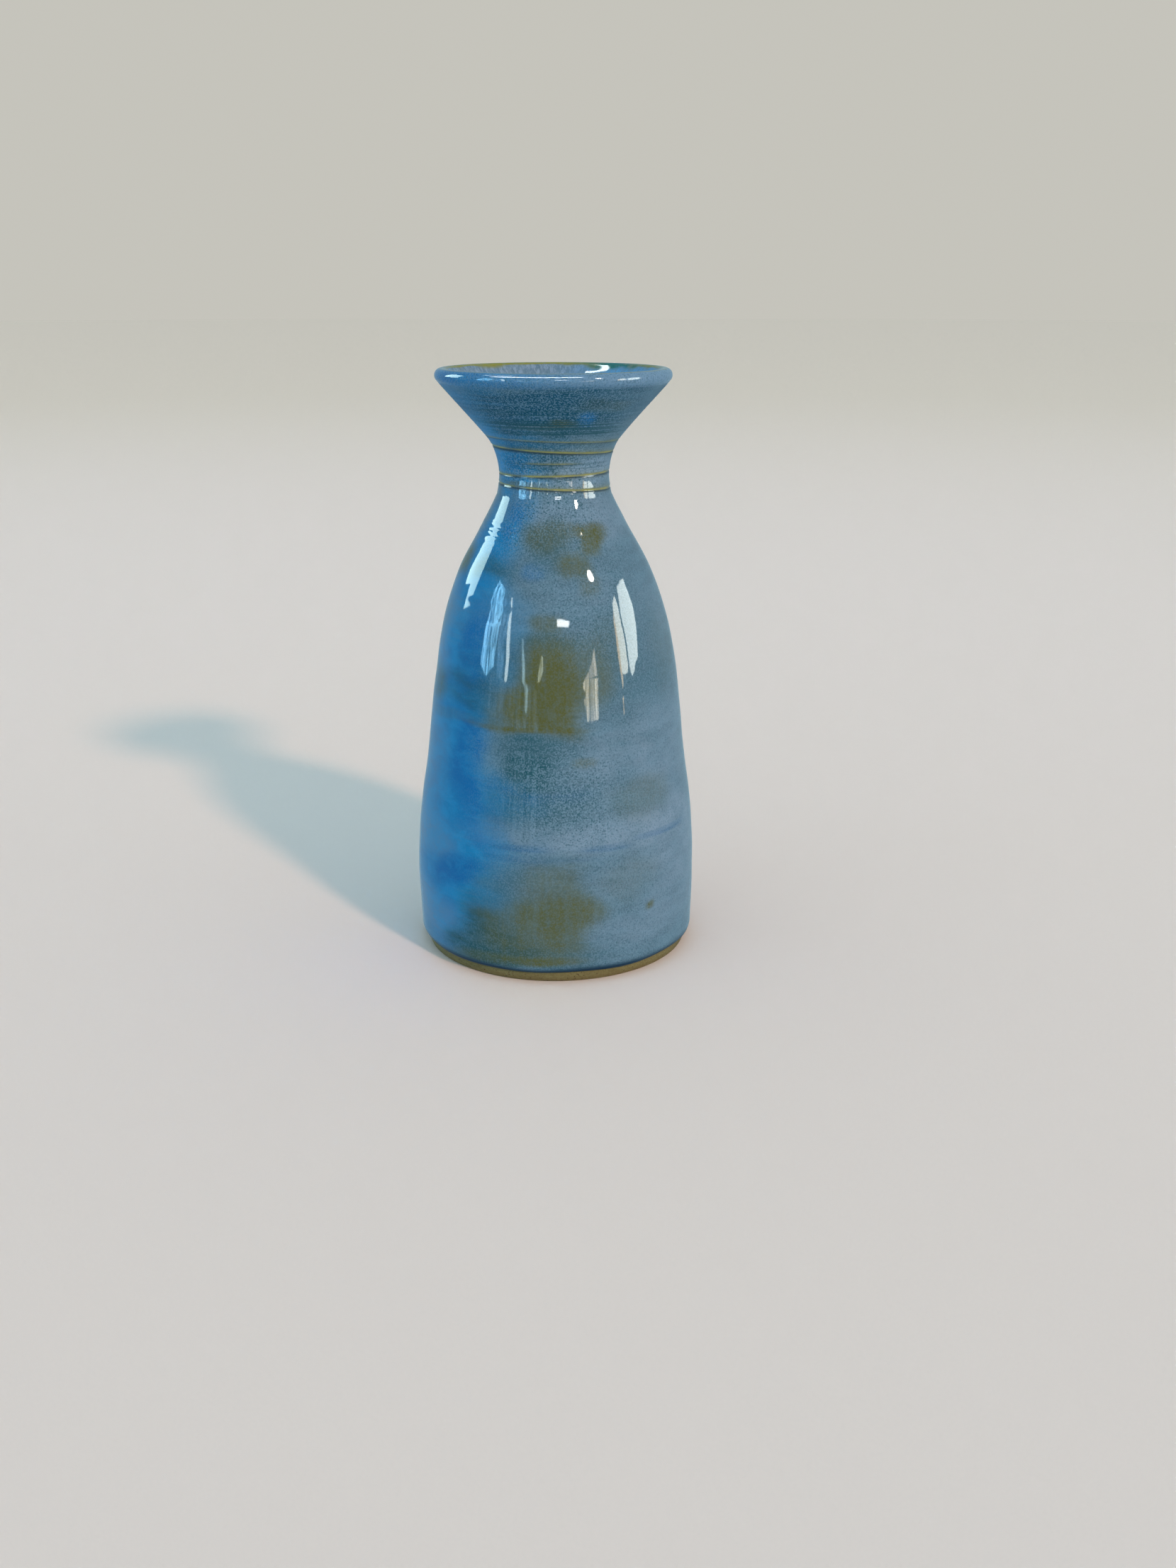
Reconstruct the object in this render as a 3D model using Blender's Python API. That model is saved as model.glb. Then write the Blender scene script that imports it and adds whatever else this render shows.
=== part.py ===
"""Ceramic bud vase, standing on its foot with the origin under its centre and +Z up.

The vase is one wheel-thrown stoneware body with glaze melted onto it. The body and each coat
of glaze are separate solids: the outer coat, the thicker lap over the lip, and the liner coat
inside. Each solid is an outline of (radius, height) points turned about the Z axis.
"""

import math

import bmesh
import bpy

MM = 0.001

# Driving dimensions of the finished, glazed vase.
HEIGHT = 160.0 * MM
FOOT_RADIUS = 37.0 * MM
BARE_BAND_RADIUS = 37.4 * MM
BARE_BAND_HEIGHT = 2.9 * MM
LIP_RADIUS = 29.6 * MM
LIP_THICKNESS = 3.7 * MM
FLOOR_HEIGHT = 7.0 * MM
FLOOR_CORNER_RADIUS = 9.0 * MM
FOOT_RING_WIDTH = 8.5 * MM
FOOT_RECESS_DEPTH = 1.8 * MM
FOOT_EDGE_RADIUS = 0.5 * MM

# The glaze coats. Two solids that touch keep a small gap, so that they never overlap.
GLAZE = 0.5 * MM
GAP = 0.3 * MM

# Sides of each turned solid, and points on the curves of the outline.
SIDES = 40
STEPS_PER_STATION = 2
STEPS_PER_ARC = 4

# The outer surface as (height, radius) stations in mm: the body from above the glaze roll at the
# foot up to the crease under the neck, and then the neck and its flare up to the lip.
BODY_STATIONS = [(5.2, 39.0), (21.0, 39.4), (38.0, 38.55), (56.0, 36.05), (76.0, 33.8),
                 (93.0, 30.85), (107.0, 26.1), (118.0, 20.0), (127.2, 15.5)]
NECK_STATIONS = [(127.9, 15.15), (133.0, 14.8), (138.0, 15.75), (142.0, 17.75), (155.4, 29.7)]

# The inner surface as (height, radius) stations in mm, from under the lip down the funnel,
# through the neck and down the wall of the belly.
BORE_STATIONS = [(157.7, 26.7), (144.5, 13.9), (139.0, 10.9), (133.0, 10.4), (126.0, 11.5),
                 (116.0, 16.6), (103.0, 22.7), (84.0, 27.8), (56.0, 31.2), (21.0, 34.2)]

# The glaze roll over the bare band, where the outer coat ran down and stopped.
ROLL_START_RADIUS = 37.85 * MM
ROLL_START_ANGLE = -65.0
ROLL_HEIGHT = 2.2 * MM

# Angles on the round lip, in degrees: the outer flare meets it below, the funnel above, and the
# lap of the two coats lies between its own two ends.
LIP_OUTER_ANGLE = -42.0
LIP_INNER_ANGLE = 138.0

# Finishes: (red, green, blue), roughness and clear coat.
CLAY_FINISH = ((0.30, 0.22, 0.12), 0.85, 0.0)
OUTER_GLAZE_FINISH = ((0.06, 0.19, 0.36), 0.12, 0.6)
LIP_GLAZE_FINISH = ((0.11, 0.28, 0.46), 0.10, 0.6)
INNER_GLAZE_FINISH = ((0.15, 0.24, 0.34), 0.15, 0.6)


def clear_scene():
    for thing in list(bpy.data.objects):
        bpy.data.objects.remove(thing, do_unlink=True)


def through_stations(stations):
    """Points of the smooth curve through (height, radius) stations, given as (radius, height)."""
    slopes = []
    for index in range(len(stations)):
        low = stations[max(index - 1, 0)]
        high = stations[min(index + 1, len(stations) - 1)]
        slopes.append((high[1] - low[1]) / (high[0] - low[0]))
    points = []
    for index in range(len(stations) - 1):
        (z0, r0), (z1, r1) = stations[index], stations[index + 1]
        span = z1 - z0
        for step in range(STEPS_PER_STATION):
            t = step / STEPS_PER_STATION
            radius = r0 * (1 + 2 * t) * (1 - t) ** 2 + r1 * t * t * (3 - 2 * t)
            radius += span * (slopes[index] * t * (1 - t) ** 2 + slopes[index + 1] * t * t * (t - 1))
            points.append((radius * MM, (z0 + span * t) * MM))
    points.append((stations[-1][1] * MM, stations[-1][0] * MM))
    return points


def arc(centre, radii, start, end, steps):
    """Points on an ellipse arc about a (radius, height) centre, between two angles in degrees."""
    points = []
    for step in range(steps + 1):
        angle = math.radians(start + (end - start) * step / steps)
        points.append((centre[0] + radii[0] * math.cos(angle), centre[1] + radii[1] * math.sin(angle)))
    return points


def inset(outline, depth):
    """The outline moved into the wall by depth. The wall lies on the left of its direction."""
    normals = []
    for (r0, z0), (r1, z1) in zip(outline, outline[1:]):
        length = math.hypot(r1 - r0, z1 - z0)
        normals.append(((z0 - z1) / length, (r1 - r0) / length))
    moved = []
    for index, (radius, height) in enumerate(outline):
        before = normals[max(index - 1, 0)]
        after = normals[min(index, len(normals) - 1)]
        middle = (before[0] + after[0], before[1] + after[1])
        scale = depth * 2 / (middle[0] ** 2 + middle[1] ** 2)
        moved.append((radius + middle[0] * scale, height + middle[1] * scale))
    return moved


def outer_outline():
    """The glazed outside, from the lower edge of the glaze roll up to the lip."""
    body_radius = BODY_STATIONS[0][1] * MM
    body_height = BODY_STATIONS[0][0] * MM
    width = (body_radius - ROLL_START_RADIUS) / (1 - math.cos(math.radians(ROLL_START_ANGLE)))
    roll = arc((body_radius - width, body_height), (width, ROLL_HEIGHT), ROLL_START_ANGLE, 0, STEPS_PER_ARC)
    surface = roll[:-1] + through_stations(BODY_STATIONS) + through_stations(NECK_STATIONS)
    return surface + [lip_outline()[0]]


def lip_outline():
    """The round lip, from where the flare meets it over the top to where the funnel meets it."""
    half = LIP_THICKNESS / 2
    return arc((LIP_RADIUS, HEIGHT - half), (half, half), LIP_OUTER_ANGLE, LIP_INNER_ANGLE, 2 * STEPS_PER_ARC)


def inner_outline():
    """The glazed inside, from under the lip down to the centre of the floor."""
    wall = through_stations(BORE_STATIONS)
    corner = FLOOR_CORNER_RADIUS
    wall_radius = BORE_STATIONS[-1][1] * MM
    rounding = arc((wall_radius - corner, FLOOR_HEIGHT + corner), (corner, corner), 0, -90, STEPS_PER_ARC)
    return [lip_outline()[-1]] + wall[:-1] + rounding + [(0.0, FLOOR_HEIGHT)]


def foot_outline():
    """The bare underside, from the centre of the recess out over the foot ring and up the band."""
    ring = FOOT_RADIUS - FOOT_RING_WIDTH
    edge = FOOT_EDGE_RADIUS
    recess = [(0.0, FOOT_RECESS_DEPTH), (ring - FOOT_RECESS_DEPTH, FOOT_RECESS_DEPTH)]
    outside = arc((FOOT_RADIUS - edge, edge), (edge, edge), -90, 0, 2)
    return recess + [(ring, 0.0)] + outside + [(BARE_BAND_RADIUS, BARE_BAND_HEIGHT)]


def turned_solid(name, outline, finish):
    """Spin an outline about Z. One that starts and ends on the axis is closed by the axis."""
    mesh = bmesh.new()
    points = [mesh.verts.new((radius, 0.0, height)) for radius, height in outline]
    ends_on_axis = outline[0][0] == 0.0 and outline[-1][0] == 0.0
    followers = points[1:] if ends_on_axis else points[1:] + points[:1]
    edges = [mesh.edges.new(pair) for pair in zip(points, followers)]
    bmesh.ops.spin(mesh, geom=points + edges, axis=(0, 0, 1), cent=(0, 0, 0),
                   angle=2 * math.pi, steps=SIDES, use_merge=True)
    bmesh.ops.remove_doubles(mesh, verts=mesh.verts[:], dist=1e-6)
    bmesh.ops.recalc_face_normals(mesh, faces=mesh.faces[:])
    data = bpy.data.meshes.new(name)
    mesh.to_mesh(data)
    mesh.free()
    data.shade_smooth()
    data.set_sharp_from_angle(angle=math.radians(35))
    data.materials.append(finished_material(name, finish))
    solid = bpy.data.objects.new(name, data)
    bpy.context.scene.collection.objects.link(solid)
    return solid


def finished_material(name, finish):
    colour, roughness, coat = finish
    material = bpy.data.materials.new(name)
    material.use_nodes = True
    shader = material.node_tree.nodes["Principled BSDF"]
    shader.inputs["Base Color"].default_value = (*colour, 1.0)
    shader.inputs["Roughness"].default_value = roughness
    shader.inputs["Metallic"].default_value = 0.0
    shader.inputs["Coat Weight"].default_value = coat
    return material


def coat_outline(surface):
    """The closed outline of a coat of glaze whose outer face is the given surface."""
    return surface + inset(surface, GLAZE)[::-1]


def along(outline, distance):
    """The point at this distance along an outline, and the number of points before it."""
    for index, ((r0, z0), (r1, z1)) in enumerate(zip(outline, outline[1:])):
        length = math.hypot(r1 - r0, z1 - z0)
        if distance < length:
            share = distance / length
            return (r0 + (r1 - r0) * share, z0 + (z1 - z0) * share), index + 1
        distance -= length
    return outline[-1], len(outline)


def without_start(outline, distance):
    """The outline with a length taken off its start."""
    point, passed = along(outline, distance)
    return [point] + outline[passed:]


def clay_outline(outer, lip, inner):
    """The fired clay: the foot, and the finished surface moved in by the glaze and the gap."""
    covered = inset(outer[:-1] + lip + inner[1:], GLAZE + GAP)
    return foot_outline() + covered


def main():
    clear_scene()
    outer = outer_outline()
    lip = lip_outline()
    inner = inner_outline()
    inner_coat = without_start(inner, GAP)
    outer_coat = without_start(outer[::-1], GAP)[::-1]
    turned_solid("clay_body", clay_outline(outer, lip, inner), CLAY_FINISH)
    turned_solid("outer_glaze", coat_outline(outer_coat), OUTER_GLAZE_FINISH)
    turned_solid("lip_glaze", coat_outline(lip), LIP_GLAZE_FINISH)
    turned_solid("inner_glaze", coat_outline(inner_coat), INNER_GLAZE_FINISH)


main()
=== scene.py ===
"""The looks of the ceramic bud vase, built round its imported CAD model.

The vase is one thrown pot under a runny blue glaze. All its visible surfaces come from one grid of
rings, which runs from the glaze roll at the foot up to the lip and down inside to the floor. Each
coat of glaze is a stretch of that grid with a thickness of its own, over a solid body of clay.
Angles are in degrees round the pot: 0 faces the camera (-Y), and 90 is to the camera's right (+X).
"""

import math

import bpy
import numpy as np
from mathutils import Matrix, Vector


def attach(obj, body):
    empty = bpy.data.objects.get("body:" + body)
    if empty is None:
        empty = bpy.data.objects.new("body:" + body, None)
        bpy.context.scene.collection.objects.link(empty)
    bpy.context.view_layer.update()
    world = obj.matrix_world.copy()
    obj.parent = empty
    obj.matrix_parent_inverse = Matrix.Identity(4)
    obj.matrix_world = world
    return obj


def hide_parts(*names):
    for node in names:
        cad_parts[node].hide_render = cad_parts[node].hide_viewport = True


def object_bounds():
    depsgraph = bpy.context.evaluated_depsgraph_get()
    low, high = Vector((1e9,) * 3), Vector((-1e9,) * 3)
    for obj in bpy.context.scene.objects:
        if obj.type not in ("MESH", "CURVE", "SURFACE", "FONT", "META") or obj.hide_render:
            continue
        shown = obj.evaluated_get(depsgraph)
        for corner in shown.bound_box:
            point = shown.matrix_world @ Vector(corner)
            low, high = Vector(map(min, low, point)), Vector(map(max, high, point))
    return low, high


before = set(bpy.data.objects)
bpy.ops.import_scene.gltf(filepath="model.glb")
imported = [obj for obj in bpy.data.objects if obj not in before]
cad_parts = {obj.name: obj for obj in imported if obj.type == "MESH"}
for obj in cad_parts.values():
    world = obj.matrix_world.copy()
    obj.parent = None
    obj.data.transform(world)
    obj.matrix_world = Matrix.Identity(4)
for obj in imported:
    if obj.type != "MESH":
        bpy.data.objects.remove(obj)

cad_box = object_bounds()
HEIGHT = cad_box[1].z
MM = HEIGHT / 160.0

# ------------------------------------------------------------
# The outline of the finished pot, close to the CAD model's. Stations are (height, radius) in mm.

BODY = [(5.2, 39.0), (21.0, 39.4), (38.0, 38.55), (56.0, 36.05), (76.0, 33.8),
        (93.0, 30.85), (107.0, 26.1), (118.0, 20.0), (127.2, 15.45)]
NECK = [(127.9, 15.25), (133.0, 14.8), (138.0, 15.75), (142.0, 17.75), (155.4, 29.7)]
BORE = [(157.7, 26.7), (144.5, 13.9), (139.0, 10.9), (133.0, 10.4), (126.0, 11.5),
        (116.0, 16.6), (103.0, 22.7), (84.0, 27.8), (56.0, 31.2), (21.0, 34.2)]

LIP_RADIUS = 29.6
LIP_THICKNESS = 3.7
LIP_ANGLES = (-42.0, 138.0)
FLOOR_HEIGHT = 7.0
FLOOR_CORNER = 9.0

ROLL_WIDTH = 1.99
ROLL_HEIGHT = 2.5
ROLL_START = -78.0

FOOT_RADIUS = 37.0
BAND_RADIUS = 37.4
BAND_HEIGHT = 2.9
FOOT_RING = 8.5
FOOT_RECESS = 1.8
FOOT_EDGE = 0.5

# The coats' full thickness, their thickness where they end at the foot, and the hair's breadth
# between a coat and the clay under it.
GLAZE = 0.5
THIN_END = 0.05
SEAT = 0.02

# Points round the pot, and rows of the grid on the glaze roll, round the lip, down the wall, round
# the inside corner and across the floor.
SIDES = 224
ROLL_ROWS = 12
LIP_ROWS = 42
WALL_ROWS = 62
CORNER_ROWS = 12
FLOOR_ROWS = 15
FLOOR_CENTRE = 0.5

# Distance between rings in mm: beside a cut line, where other detail is fine, on the body, on the
# flare and down the funnel.
LINE_REACH = 0.65
LINE_STEP = 0.12
FINE_STEP = 0.30
BODY_STEP = 0.62
FLARE_STEP = 0.34
FUNNEL_STEP = 0.45

# ------------------------------------------------------------
# What the potter's hand left on it.

# Lines cut round the neck: height, how far they rise on the left, depth, half width, and the
# angle and half spread of the stretch that shows (None runs all round).
CUT_LINES = [
    (142.2, 0.6, 0.04, 0.20, None),
    (139.4, 0.8, 0.12, 0.26, None),
    (136.3, 0.0, 0.04, 0.22, (-2.0, 26.0)),
    (133.1, -0.3, 0.11, 0.26, None),
    (129.7, 0.7, 0.12, 0.28, None),
]

# The soft ledge under the neck: how far it swells out, the height and half height of the swelling,
# and the heights of the ledge's foot and edge.
LEDGE = 0.05
LEDGE_SWELL = (127.2, 1.5)
LEDGE_FOOT = 128.4
LEDGE_EDGE = 129.2

# Throwing rings: lowest and highest point, pitch and depth in mm.
THROWING_RINGS = [
    (8.0, 122.0, 13.0, 0.030),
    (10.0, 118.0, 3.4, 0.004),
    (130.0, 142.0, 1.7, 0.012),
    (143.5, 154.0, 1.15, 0.030),
]
# Finger ridges on one side of the shoulder: angle, half spread, height, half height, pitch, depth,
# and how much they slant, in radians of the ridge wave for each degree round the pot.
SHOULDER_RIDGES = (-58.0, 26.0, 118.8, 2.6, 2.2, 0.090)
RIDGE_SLANT = 0.08
# The shoulder swells out by this much from the first height to the second, and is back on the
# outline at the third.
SHOULDER_OUT = 0.16
SHOULDER_SWELL = (98.0, 119.5, 126.5)
# How uneven the glazed surface is: everywhere, on the lip and on the roll at the foot.
UNEVEN = 0.020
UNEVEN_LIP = 0.006
UNEVEN_ROLL = 0.10
# Rings down the inside: depth and pitch.
INSIDE_RINGS = (0.05, 5.5)
# Marks of the turning tool on the bare foot: distance between rows of the grid.
TOOL_STEP = 0.14

# The pot leans a little: sideways shift in mm at each height.
LEAN = [(0.0, -0.05), (22.0, -0.2), (50.0, 0.05), (80.0, 0.3), (105.0, 0.1), (125.0, 0.0),
        (160.0, 0.0)]

# Seeds of the random waves, one for each use. Each list of patches also uses the next seed up.
SEEDS = {
    "ring drift": 11, "ring swell": 12, "surface": 21, "lip": 22, "roll": 23, "worn line": 31,
    "pooled edge": 41, "crest": 51, "olive": 61, "teal": 63, "azure": 65, "deep": 67, "pale": 69,
    "streak": 71, "flare": 73, "speckled": 75,
}
WAVE_COUNT = 14

# ------------------------------------------------------------
# Where the glaze ran thin, pooled or took another tone, with painted light and shade in some
# lists as noted at each: angle, height in mm, half width in degrees, half height in mm, strength.

OLIVE = [
    (-2, 85, 13.5, 8.0, 0.92), (-3, 77, 15, 8.0, 0.88), (-17, 76.5, 14, 4.5, 0.80),
    (-27, 73.5, 9, 4.0, 0.50), (3, 74, 12, 5.0, 0.60), (-13, 70.0, 27, 0.8, 0.75),
    (15, 83, 11, 9.0, 0.50), (22, 119.6, 13, 1.7, 0.70), (31, 118.5, 13, 2.2, 0.75),
    (25, 116.2, 9, 2.0, 0.70), (-8, 118.0, 16, 3.4, 0.50), (13, 112.2, 10, 2.8, 0.65),
    (-3, 96.8, 9, 2.2, 0.55), (-40, 130.9, 26, 0.8, 0.55), (19, 107, 6, 4.0, 0.40),
    (11, 61.6, 5, 1.4, 0.45), (39, 50, 15, 5.5, 0.26), (-76, 111, 14, 4.0, 0.80),
    (-76, 78, 12, 5.0, 0.50), (-60, 70.5, 22, 1.6, 0.20), (0, 26, 14, 9.0, 0.52),
    (1, 19, 15, 6.0, 0.58), (-22, 17, 16, 5.0, 0.52), (-7, 6.9, 17, 1.5, 0.80),
    (-32, 5.5, 16, 2.0, 0.45), (-10, 11, 22, 3.0, 0.42), (41, 19.2, 2.2, 1.0, 0.80),
    (33, 28, 13, 6.0, 0.18), (4, 147.2, 11, 1.0, 0.65), (-14, 146.2, 22, 0.9, 0.35),
    (30, 152, 16, 1.6, 0.25), (5, 14.5, 9, 4.5, 0.45), (-13, 72.4, 14, 2.6, 0.72),
    (12, 119.8, 9, 2.0, 0.30), (27, 90, 9, 7.0, 0.20), (66, 88, 15, 11.0, 0.14),
    # The sides and the back.
    (113, 98, 13, 6.0, 0.62), (125, 93, 11, 8.0, 0.58), (107, 103, 7, 3.0, 0.35),
    (104, 84, 14, 4.0, 0.40), (150, 58, 18, 6.0, 0.55), (172, 116, 26, 3.0, 0.60),
    (201, 91, 13, 7.0, 0.62), (212, 85, 10, 8.5, 0.58), (194, 98, 7, 4.0, 0.40),
    (192, 76, 22, 3.0, 0.50), (226, 33, 14, 5.5, 0.60), (238, 26, 12, 7.0, 0.55),
    (219, 23, 8, 4.0, 0.35), (250, 64, 14, 4.0, 0.40), (130, 27, 13, 5.0, 0.55),
    (141, 20, 11, 6.5, 0.52), (160, 9, 26, 2.0, 0.55), (96, 40, 11, 4.0, 0.30),
    (246, 104, 18, 4.0, 0.50), (186, 146, 22, 1.4, 0.40), (262, 149, 16, 1.6, 0.30),
]
TEAL = [
    (40, 87, 24, 14.0, 0.28), (-16, 60, 9, 7.0, 0.72), (-8, 65, 18, 5.0, 0.58),
    (-30, 13, 16, 9.0, 0.72), (-31, 7.5, 16, 3.4, 0.90), (-22, 12, 20, 6.0, 0.35),
    (-42, 110, 18, 2.6, 0.60), (-50, 79, 20, 4.0, 0.30), (-30, 84, 8, 10.0, 0.40),
    (30, 104, 15, 8.0, 0.10), (4, 50, 18, 6.0, 0.34), (-2, 92, 15, 3.0, 0.45),
    (10, 141, 60, 1.2, 0.30), (4, 144.6, 44, 1.3, 0.45), (-6, 116, 16, 5.0, 0.38),
    (58, 107, 20, 8.0, 0.06), (36, 66, 14, 2.0, 0.20), (0, 8.5, 16, 5.0, 0.40),
    (-24, 28, 12, 6.0, 0.32), (-16, 26, 9, 7.0, 0.18), (-20, 49, 11, 8.0, 0.28),
    (-38, 76, 9, 6.0, 0.32), (-18, 85, 8, 9.0, 0.38), (0, 119, 22, 4.0, 0.22),
    (-47, 82, 9, 8.0, 0.18), (-9, 58, 9, 5.0, 0.56), (-10, 48, 11, 6.0, 0.25),
    # The sides and the back.
    (128, 78, 24, 8.0, 0.50), (210, 102, 30, 6.0, 0.50), (178, 32, 30, 10.0, 0.45),
    (244, 14, 26, 6.0, 0.60),
]
# The broad azure over the left side is partly the glaze's own tone and partly painted light: the cool
# light that falls on the pot from the left.
AZURE = [
    (-62, 60, 31, 44.0, 1.10), (-54, 112, 28, 13.0, 1.00), (-50, 137, 34, 9.0, 0.95),
    (-62, 28, 33, 24.0, 1.05), (-54, 150, 32, 7.0, 0.85), (-28, 123, 12, 5.0, 0.45),
    (-10, 141, 26, 2.2, 0.45), (-20, 52, 13, 6.0, 0.40), (-22, 88, 10, 14.0, 0.35),
    (-20, 134, 16, 3.0, 0.35), (-27, 36, 12, 6.0, 0.35), (-26, 45, 10, 9.0, 0.38),
    (-10, 39.5, 11, 5.0, 0.15),
    # The sides and the back.
    (200, 48, 34, 22.0, 0.90), (228, 120, 26, 9.0, 0.80), (112, 60, 20, 8.0, 0.50),
    (150, 134, 34, 6.0, 0.50),
]
DEEP = [
    (-41, 62, 9, 12.0, 0.85), (-45, 88, 9, 13.0, 0.75), (-46, 29, 14, 4.6, 0.95),
    (-37, 48, 6, 9.0, 0.45), (-34, 122, 11, 4.0, 0.45), (21.5, 147.8, 6, 1.7, 0.85),
    (-14, 110, 7, 2.0, 0.35), (-17, 53, 7, 1.6, 0.30), (-29, 46, 9, 9.0, 0.30),
    # The sides and the back.
    (208, 42, 18, 6.0, 0.60), (190, 60, 12, 5.0, 0.50),
]
# The pale tone is partly the glaze's own and partly painted light: the right side lighter where the
# light falls, and a painted reflection of the pale floor low on the body.
PALE = [
    (28, 41.5, 56, 5.0, 0.62), (62, 36, 28, 11.0, 0.62), (60, 62, 26, 15.0, 0.42),
    (62, 18, 28, 9.0, 0.40), (-72, 56, 15, 16.0, 0.20), (-62, 37, 15, 6.5, 0.30),
    (-62, 15, 22, 7.0, 0.28), (-76, 92, 12, 12.0, 0.25), (58, 96, 18, 11.0, 0.24),
    (26, 104, 10, 5.0, 0.22), (25, 29, 10, 5.0, 0.24), (16, 56, 8, 6.0, 0.26), (16, 47, 8, 3.0, 0.20),
    (50, 122, 26, 6.0, 0.48), (28, 14, 17, 5.0, 0.22), (4, 124, 26, 4.0, 0.34),
    (24, 64, 20, 5.0, 0.34), (50, 134.5, 36, 3.0, 0.70), (14, 134.6, 14, 1.2, 0.45),
    (30, 131, 40, 1.6, 0.35),
    # The sides and the back.
    (150, 40, 60, 3.6, 0.50), (168, 90, 18, 8.0, 0.35), (236, 78, 22, 6.0, 0.35),
    (100, 120, 24, 6.0, 0.30),
]
BLUE_STREAKS = [
    (-14, 38.6, 12, 0.8, 0.50), (20, 38.0, 12, 0.8, 0.45), (50, 39.4, 13, 0.9, 0.36),
    (-4, 51.5, 14, 1.4, 0.30), (8, 53.5, 9, 2.0, 0.20), (-5, 35.5, 20, 1.0, 0.25),
    # The sides and the back.
    (140, 35, 30, 1.0, 0.50), (205, 66, 24, 1.0, 0.40),
]
# The dark blue of the flare: partly the glaze's own tone and partly painted shade on its underside,
# which faces down.
FLARE_TONE_AND_SHADE = [
    (-6, 152.4, 54, 5.0, 0.95), (-12, 147.4, 50, 4.0, 0.80), (20, 151.0, 40, 5.0, 0.28),
    (-26, 137.6, 32, 4.6, 0.36), (0, 138.2, 22, 1.3, 0.50), (-22, 141.2, 40, 1.6, 0.40),
    (-6, 136.2, 18, 0.8, 0.40),
    # The sides and the back.
    (176, 151, 60, 6.0, 0.85), (262, 150, 34, 5.0, 0.60), (84, 150, 30, 4.0, 0.40),
]
# Where the crystals stand out most.
SPECKLED = [
    (-2, 134, 66, 6.0, 1.20), (0, 150, 62, 8.0, 0.75), (2, 122, 38, 7.0, 1.10),
    (0, 52, 26, 12.0, 0.80), (14, 100, 26, 14.0, 0.35),
    # The sides and the back.
    (170, 136, 80, 12.0, 0.90), (184, 120, 40, 8.0, 0.80), (160, 60, 40, 18.0, 0.60),
]

# Fine dark lines left by the wheel, round the flare and more faintly round the neck: the heights
# where each band starts, is full, begins to fade and ends.
WHEEL_ON_FLARE = (142.6, 144.0, 148.5, 152.0)
WHEEL_ON_NECK = (134.2, 135.0, 137.8, 138.6)
# The angle at which the olive crest of the lip is broadest and greenest.
CREST_ANGLE = 142.0

# ------------------------------------------------------------
# Colours, as linear red, green and blue.

GREY_BLUE = (0.099, 0.218, 0.322)
TEAL_COLOUR = (0.012, 0.092, 0.135)
AZURE_COLOUR = (0.008, 0.275, 0.640)
AZURE_SHADE = (0.0, 0.200, 0.520)
DEEP_COLOUR = (0.0, 0.160, 0.480)
PALE_COLOUR = (0.190, 0.330, 0.480)
OLIVE_COLOUR = (0.092, 0.118, 0.034)
# The flare's dark blue is partly painted shade.
FLARE_SHADE_COLOUR = (0.001, 0.078, 0.160)
# Navy is partly painted shade: in the cut lines and under the roll at the foot.
NAVY_COLOUR = (0.002, 0.028, 0.070)
AMBER_COLOUR = (0.300, 0.345, 0.120)
CRYSTAL_COLOUR = (0.220, 0.410, 0.600)
LIP_COLOUR = (0.140, 0.305, 0.500)
CREST_COLOUR = (0.220, 0.260, 0.045)
CREST_GREEN = (0.020, 0.180, 0.190)
CLAY_LIGHT = (0.215, 0.215, 0.095)
CLAY_DARK = (0.110, 0.085, 0.030)
CLAY_IRON = (0.030, 0.018, 0.010)
STREAK_COLOUR = (0.020, 0.130, 0.330)
INSIDE_DARK = (0.130, 0.245, 0.350)
INSIDE_LIGHT = (0.230, 0.370, 0.520)
INSIDE_BLUE = (0.085, 0.350, 0.700)
FLOOR_COLOUR = (0.820, 0.820, 0.810)
WORLD_COLOUR = (0.500, 0.604, 0.634)
ROOM_IN_GLOSS = (0.270, 0.400, 0.470)
FAR_FLOOR_COLOUR = (0.741, 0.743, 0.681)
BACKDROP_COLOUR = (0.560, 0.550, 0.500)

# How strongly the veins, the crystals and the wheel's lines colour the glaze.
VEIN_STRENGTH = 0.55
CRYSTAL_STRENGTH = 0.34
WHEEL_STRENGTH = 0.80
# Roughness and specular level of the glossy and the satin glaze.
GLOSSY = (0.045, 0.5)
SATIN = (0.42, 0.22)
GLAZE_IOR = 1.40
# Radius in mm at which patterns that run round the pot are laid out, about its mean radius.
PATTERN_RADIUS = 27.0

# The room: radius of the floor and the backdrop, and how far away the sun is placed, in metres.
ROOM_RADIUS = 8.0
SUN_DISTANCE = 3.0
# The camera: how far it stands off and how high, in heights of the pot, how far it looks down and
# to the right, in degrees, and its lens in mm.
CAMERA_AWAY = 2.700
CAMERA_UP = 1.135
CAMERA_DOWN = 17.59
CAMERA_RIGHT = 1.21
CAMERA_LENS = 36.39

# Sockets of the colour mix node: its factor, its two colours and its result.
MIX_FACTOR = 0
MIX_FIRST = 6
MIX_SECOND = 7
MIX_RESULT = 2


# ------------------------------------------------------------
# Outline


def through(stations, heights):
    """The radius at each height, on the smooth curve through the stations."""
    z, r = np.array(sorted(stations)).T
    rise = np.append(z[1:], z[-1]) - np.insert(z[:-1], 0, z[0])
    slope = (np.append(r[1:], r[-1]) - np.insert(r[:-1], 0, r[0])) / rise
    low = np.clip(np.searchsorted(z, heights) - 1, 0, len(z) - 2)
    span = z[low + 1] - z[low]
    t = (heights - z[low]) / span
    ends = r[low] * (1 + 2 * t) * (1 - t) ** 2 + r[low + 1] * t * t * (3 - 2 * t)
    return ends + span * (slope[low] * t * (1 - t) ** 2 + slope[low + 1] * t * t * (t - 1))


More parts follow.
